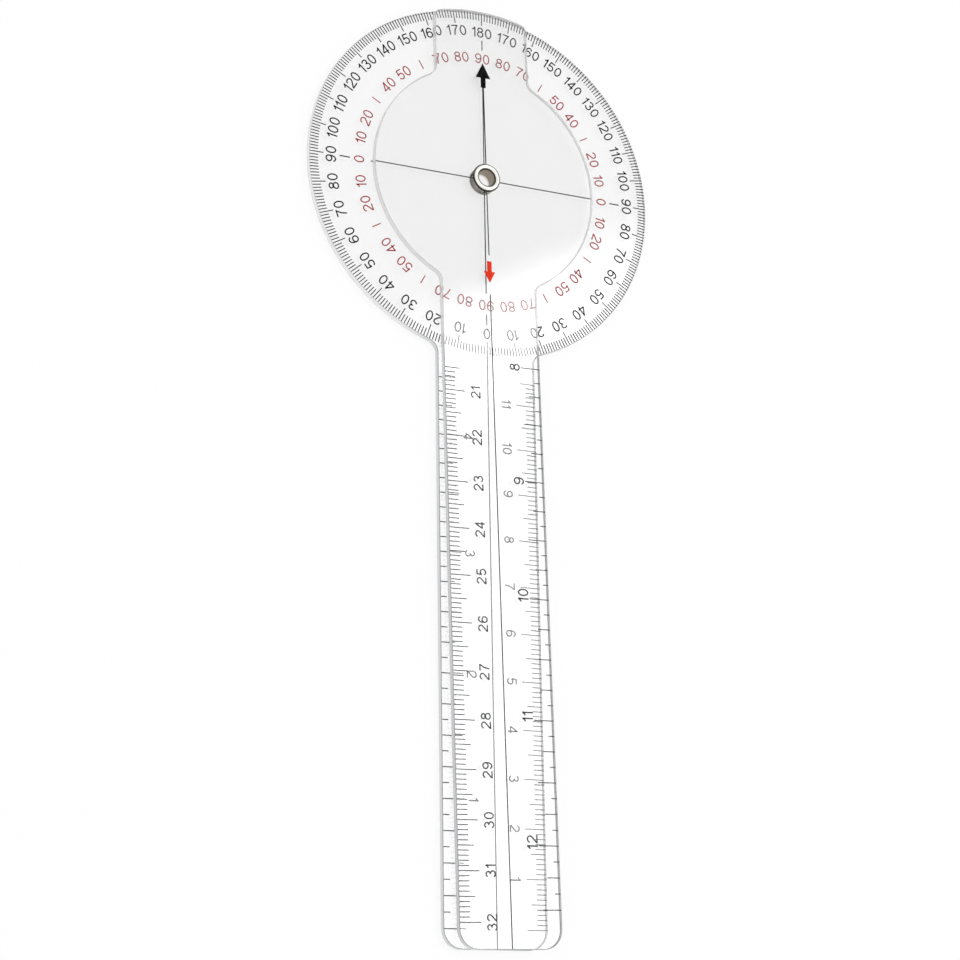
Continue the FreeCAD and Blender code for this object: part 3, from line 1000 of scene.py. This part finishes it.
@dataclass
class Protractor(PrintedBody):
    """The round dial with its fixed arm."""

    body = Body.PROTRACTOR
    plate = "protractor_plate"
    degree_ring: float = 36.0 * MM
    degree_cap: float = 2.45 * MM
    quarter_ring: float = 29.5 * MM
    quarter_cap: float = 2.4 * MM
    degree_pen: DigitPen = DigitPen(weight=0.118)
    quarter_pen: DigitPen = DigitPen(weight=0.107)
    red_marks: tuple[int, ...] = (3, 6)
    centimetres: range = range(11, 0, -1)
    inches: range = range(4, 0, -1)
    ruler_zero: float = 161.3 * MM
    centimetre_row: float = 4.35 * MM
    inch_row: float = -4.75 * MM

    @property
    def ruler_ink(self) -> bpy.types.Material:
        """The ink of the arm's rulers and their numbers."""
        return self.finishes.ruler_ink

    def inks(self) -> Mapping[str, bpy.types.Material]:
        """Give the ink of each printed node on the dial and its arm."""
        return {
            "degree_ticks": self.finishes.black_ink,
            "dial_cross_lines": self.finishes.black_ink,
            "thirty_degree_marks": self.finishes.red_ink,
            "fixed_arm_centre_line": self.ruler_ink,
            "fixed_arm_centimetre_ticks": self.ruler_ink,
            "fixed_arm_inch_ticks": self.ruler_ink,
        }

    def build(self) -> None:
        """Dress the plate and print the dial's two rings of numbers and the fixed arm's rulers."""
        self.dress_nodes()
        self.print_dial()
        self.print_rulers()

    def print_dial(self) -> None:
        """Print 0 to 180 both ways round the dial, and 0 to 90 in each quarter."""
        dial = DialNumberModel()
        half_turn = STEPS_ROUND_THE_DIAL // 2
        texts = [str(10 * i) for i in range(half_turn + 1)]
        degrees = NumberLabels("degrees", texts, self.degree_cap, self.ink_height, self.degree_pen)
        shared = {"Stations": STEPS_ROUND_THE_DIAL, "Print height": self.print_height}
        piece = dial.run(
            "dial_numbers",
            shared
            | {
                "Labels": degrees.build(),
                "Ring radius": self.degree_ring,
                "Count length": STEPS_ROUND_THE_DIAL,
                "Count start": half_turn,
                "Ink": self.finishes.black_ink,
            },
        )
        self.keep(piece, Slot.BLACK_INK)
        texts = ["" if i in self.red_marks else str(10 * i) for i in range(half_turn // 2 + 1)]
        quarters = NumberLabels("quarters", texts, self.quarter_cap, self.ink_height, self.quarter_pen)
        piece = dial.run(
            "quarter_numbers",
            shared
            | {
                "Labels": quarters.build(),
                "Ring radius": self.quarter_ring,
                "Count length": half_turn,
                "Count start": 0,
                "Ink": self.finishes.red_ink,
            },
        )
        self.keep(piece, Slot.RED_INK)

    def print_rulers(self) -> None:
        """Print the fixed arm's numbers, which count from its free end."""
        rows = [
            RulerNumbers(
                name="fixed_arm_centimetre_numbers",
                texts=[str(n) for n in self.centimetres],
                first_distance=self.ruler_zero - self.centimetres[0] * CENTIMETRE,
                spacing=CENTIMETRE,
                row_offset=self.centimetre_row,
                tops=Tops.TOWARDS_RIGHT,
            ),
            RulerNumbers(
                name="fixed_arm_inch_numbers",
                texts=[str(n) for n in self.inches],
                first_distance=self.ruler_zero - self.inches[0] * INCH,
                spacing=INCH,
                row_offset=self.inch_row,
                tops=Tops.TOWARDS_RIGHT,
            ),
        ]
        model = RulerNumberModel()
        for row in rows:
            row.build(model, self, 0.0)


@dataclass
class MovingArm(PrintedBody):
    """The arm that turns, with its round head and short tail."""

    body = Body.MOVING_ARM
    plate = "moving_arm"
    rest_turn: float = math.radians(0.95)
    centimetres: range = range(21, 33)
    inches: range = range(8, 13)
    first_two_digit_inch: int = 10
    reading_at_pivot: float = 160.0 * MM
    centimetre_row: float = -4.25 * MM
    inch_row: float = 5.25 * MM
    two_digit_shift: float = 0.65 * MM
    inch_cap: float = 2.45 * MM

    @property
    def ruler_ink(self) -> bpy.types.Material:
        """The ink of the arm's rulers and their numbers."""
        return self.finishes.worn_ink

    def inks(self) -> Mapping[str, bpy.types.Material]:
        """Give the ink of each printed node on the arm."""
        return {
            "moving_arm_centre_line": self.ruler_ink,
            "moving_arm_centimetre_ticks": self.ruler_ink,
            "moving_arm_inch_ticks": self.ruler_ink,
            "black_pointer": self.finishes.black_ink,
            "red_pointer": self.finishes.vermilion_ink,
        }

    def build(self) -> None:
        """Dress the plate and print the moving arm's numbers, which go on from the fixed arm's."""
        self.dress_nodes()
        rows = [
            RulerNumbers(
                name="moving_arm_centimetre_numbers",
                texts=[str(n) for n in self.centimetres],
                first_distance=self.centimetres[0] * CENTIMETRE - self.reading_at_pivot,
                spacing=CENTIMETRE,
                row_offset=self.centimetre_row,
                tops=Tops.TOWARDS_LEFT,
            ),
            RulerNumbers(
                name="moving_arm_inch_numbers",
                texts=[str(n) for n in self.inches],
                first_distance=self.inches[0] * INCH - self.reading_at_pivot,
                spacing=INCH,
                row_offset=self.inch_row,
                tops=Tops.TOWARDS_LEFT,
                cap_height=self.inch_cap,
                shifted_from=self.inches.index(self.first_two_digit_inch),
                shift_to_pivot=self.two_digit_shift,
            ),
        ]
        model = RulerNumberModel()
        for row in rows:
            row.build(model, self, self.rest_turn)


@dataclass
class Eyelet:
    """The hollow rivet that joins the plates."""

    finishes: FinishSet
    nodes: Mapping[str, bpy.types.Object]
    node: str = "pivot_eyelet"

    def build(self) -> None:
        """Give the eyelet its plating."""
        dress(self.nodes[self.node], self.finishes.nickel_plate)


# ------------------------------------------------------------------------------
# The studio
# ------------------------------------------------------------------------------


@dataclass
class Studio:
    """A white table under one large softbox, in a pale room with a darker skirting."""

    floor_half: float = 1.6
    floor_gap: float = 0.01 * MM
    floor_colour: str = "#FCFCFC"
    floor_glow: float = 0.82
    fibre_size: float = 0.4 * MM
    tooth_height: float = 0.01 * MM
    room_light: float = 0.88
    skirting: str = "#3C3D3F"
    skirting_through_acrylic: str = "#D2D3D4"
    # The sine of the height above the table at which the skirting ends, and at which the wall is white.
    skirting_to: float = 0.2
    white_from: float = 0.7
    softbox_corner: tuple[float, float, float] = (0.755, 0.669, 1.5)
    softbox_turn: float = math.radians(28)
    softbox_size: tuple[float, float] = (0.9, 1.1)
    softbox_radiance: float = 3.4
    softbox_fade: float = 0.08
    softbox_strip: float = 0.10
    softbox_strip_fade: float = 0.05
    # The cloth's brightness beside the bright strip and at its near edge, as shares of the strip's.
    softbox_far: float = 0.57
    softbox_near: float = 0.85

    def build(self) -> None:
        """Lay the floor, light the room and hang the softbox."""
        self.lay_floor()
        self.light_room()
        self.hang_softbox()

    def lay_floor(self) -> None:
        """Lay the white table under the eyelet's flange, which is the lowest part."""
        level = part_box("pivot_eyelet")[0].z - self.floor_gap
        shape = bmesh.new()
        side = self.floor_half
        ways = ((-1, -1), (1, -1), (1, 1), (-1, 1))
        shape.faces.new([shape.verts.new((x * side, y * side, level)) for x, y in ways])
        mesh = bpy.data.meshes.new("table")
        shape.to_mesh(mesh)
        shape.free()
        table = bpy.data.objects.new("table", mesh)
        bpy.context.scene.collection.objects.link(table)
        dress(table, self.table_paper())

    def table_paper(self) -> bpy.types.Material:
        """Build matt white studio paper, which keeps shadows and looks white, also in metal and in glass."""
        material = bpy.data.materials.new("matt white studio paper")
        add = start_nodes(material)
        place = add("ShaderNodeTexCoord")
        fibre = add(
            "ShaderNodeTexNoise",
            {"Vector": place.outputs["Object"], "Scale": 1 / self.fibre_size, "Detail": 4.0},
        )
        tooth = add(
            "ShaderNodeBump", {"Height": fibre.outputs[0], "Strength": 0.2, "Distance": self.tooth_height}
        )
        paper = add(
            "ShaderNodeBsdfDiffuse", {"Color": linear(self.floor_colour), "Normal": tooth.outputs[0]}
        )
        glow = add("ShaderNodeEmission", {"Color": linear("#FFFFFF"), "Strength": 1.0})
        rays = add("ShaderNodeLightPath")
        eye = add(
            "ShaderNodeMath",
            {0: rays.outputs["Is Camera Ray"], 1: rays.outputs["Is Glossy Ray"]},
            operation="MAXIMUM",
        )
        seen = add(
            "ShaderNodeMath",
            {0: eye.outputs[0], 1: rays.outputs["Is Transmission Ray"]},
            operation="MAXIMUM",
        )
        share = add("ShaderNodeMath", {0: seen.outputs[0], 1: self.floor_glow}, operation="MULTIPLY")
        floor = add("ShaderNodeMixShader", {0: share.outputs[0], 1: paper.outputs[0], 2: glow.outputs[0]})
        add("ShaderNodeOutputMaterial", {"Surface": floor.outputs[0]})
        return material

    def light_room(self) -> None:
        """Light the room evenly. The eye sees a white wall, and metal and glass see it darken to its foot."""
        world = bpy.data.worlds.new("pale room")
        bpy.context.scene.world = world
        add = start_nodes(world)
        towards = add("ShaderNodeTexCoord")
        up = add("ShaderNodeSeparateXYZ", {0: towards.outputs["Generated"]})
        height = add(
            "ShaderNodeMapRange",
            {"Value": up.outputs["Z"], "From Min": self.skirting_to, "From Max": self.white_from},
            interpolation_type="SMOOTHSTEP",
        )
        rays = add("ShaderNodeLightPath")
        skirting = add(
            "ShaderNodeMix",
            {
                0: rays.outputs["Is Transmission Ray"],
                6: linear(self.skirting),
                7: linear(self.skirting_through_acrylic),
            },
            data_type="RGBA",
        )
        wall = add(
            "ShaderNodeMix",
            {0: height.outputs[0], 6: skirting.outputs[2], 7: linear("#FFFFFF")},
            data_type="RGBA",
        )
        light = add("ShaderNodeBackground", {"Color": linear("#FFFFFF"), "Strength": self.room_light})
        mirrored = add("ShaderNodeBackground", {"Color": wall.outputs[2], "Strength": 1.0})
        white = add("ShaderNodeBackground", {"Color": linear("#FFFFFF"), "Strength": 1.0})
        gloss = add(
            "ShaderNodeMath",
            {0: rays.outputs["Is Glossy Ray"], 1: rays.outputs["Is Transmission Ray"]},
            operation="MAXIMUM",
        )
        indirect = add(
            "ShaderNodeMixShader", {0: gloss.outputs[0], 1: light.outputs[0], 2: mirrored.outputs[0]}
        )
        room = add(
            "ShaderNodeMixShader",
            {0: rays.outputs["Is Camera Ray"], 1: indirect.outputs[0], 2: white.outputs[0]},
        )
        add("ShaderNodeOutputWorld", {"Surface": room.outputs[0]})

    def hang_softbox(self) -> None:
        """Hang the softbox. Its lamp sits at the far edge, a bright strip that mirrors in the lower dial."""
        width, depth = self.softbox_size
        light = bpy.data.lights.new("softbox", "AREA")
        light.shape = "RECTANGLE"
        light.size = width
        light.size_y = depth
        light.energy = self.softbox_radiance * math.pi * width * depth
        add = start_nodes(light)
        spot = add("ShaderNodeNewGeometry")
        across = add("ShaderNodeSeparateXYZ", {0: spot.outputs["Parametric"]})
        fade = add(
            "ShaderNodeMapRange",
            {"Value": across.outputs["Y"], "From Min": 1.0, "From Max": 1.0 - self.softbox_fade},
            interpolation_type="SMOOTHSTEP",
        )
        strip_end = 1.0 - self.softbox_strip
        rest = add(
            "ShaderNodeMapRange",
            {
                "Value": across.outputs["Y"],
                "From Max": strip_end,
                "To Min": self.softbox_near,
                "To Max": self.softbox_far,
            },
        )
        strip = add(
            "ShaderNodeMapRange",
            {
                "Value": across.outputs["Y"],
                "From Min": strip_end - self.softbox_strip_fade,
                "From Max": strip_end,
                "To Min": rest.outputs[0],
            },
            interpolation_type="SMOOTHSTEP",
        )
        glow = add("ShaderNodeMath", {0: fade.outputs[0], 1: strip.outputs[0]}, operation="MULTIPLY")
        cloth = add("ShaderNodeEmission", {"Color": linear("#FFFFFF"), "Strength": glow.outputs[0]})
        add("ShaderNodeOutputLight", {"Surface": cloth.outputs[0]})
        lamp = bpy.data.objects.new("softbox", light)
        bpy.context.scene.collection.objects.link(lamp)
        turn = Matrix.Rotation(self.softbox_turn, 4, "Z")
        centre = Vector(self.softbox_corner) + turn.to_3x3() @ Vector((0.0, -depth / 2, 0.0))
        lamp.matrix_world = Matrix.Translation(centre) @ turn
        lamp.visible_camera = False


@dataclass
class Camera:
    """The view from above and to the lower left of the instrument."""

    place: tuple[float, float, float] = (-0.190388, -0.194955, 0.394662)
    turn: tuple[float, float, float] = (17.6427, -24.5953, -0.7087)
    lens: float = 80.839
    sensor: float = 36.0
    frame_pixels: float = 960.0
    axis_pixels: tuple[float, float] = (450.0, 435.0)

    def build(self) -> None:
        """Set the camera in its place, with its axis a little off the middle of the frame."""
        data = bpy.data.cameras.new("view")
        data.lens = self.lens
        data.sensor_width = self.sensor
        data.clip_start = 10 * MM
        data.shift_x = (self.frame_pixels / 2 - self.axis_pixels[0]) / self.frame_pixels
        data.shift_y = (self.axis_pixels[1] - self.frame_pixels / 2) / self.frame_pixels
        camera = bpy.data.objects.new("view", data)
        bpy.context.scene.collection.objects.link(camera)
        turn = Euler([math.radians(a) for a in self.turn], "XYZ").to_matrix().to_4x4()
        camera.matrix_world = Matrix.Translation(self.place) @ turn
        bpy.context.scene.camera = camera


def main() -> None:
    """Build the instrument and its studio, in order."""
    logging.basicConfig(level=logging.INFO, format="%(message)s")
    bpy.context.scene.view_settings.view_transform = "Standard"
    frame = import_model()
    nodes = frame["nodes"]
    finishes = FinishSet.build()
    Camera().build()
    Studio().build()
    Protractor(finishes, nodes).build()
    MovingArm(finishes, nodes).build()
    Eyelet(finishes, nodes).build()


if __name__ == "__main__":
    main()
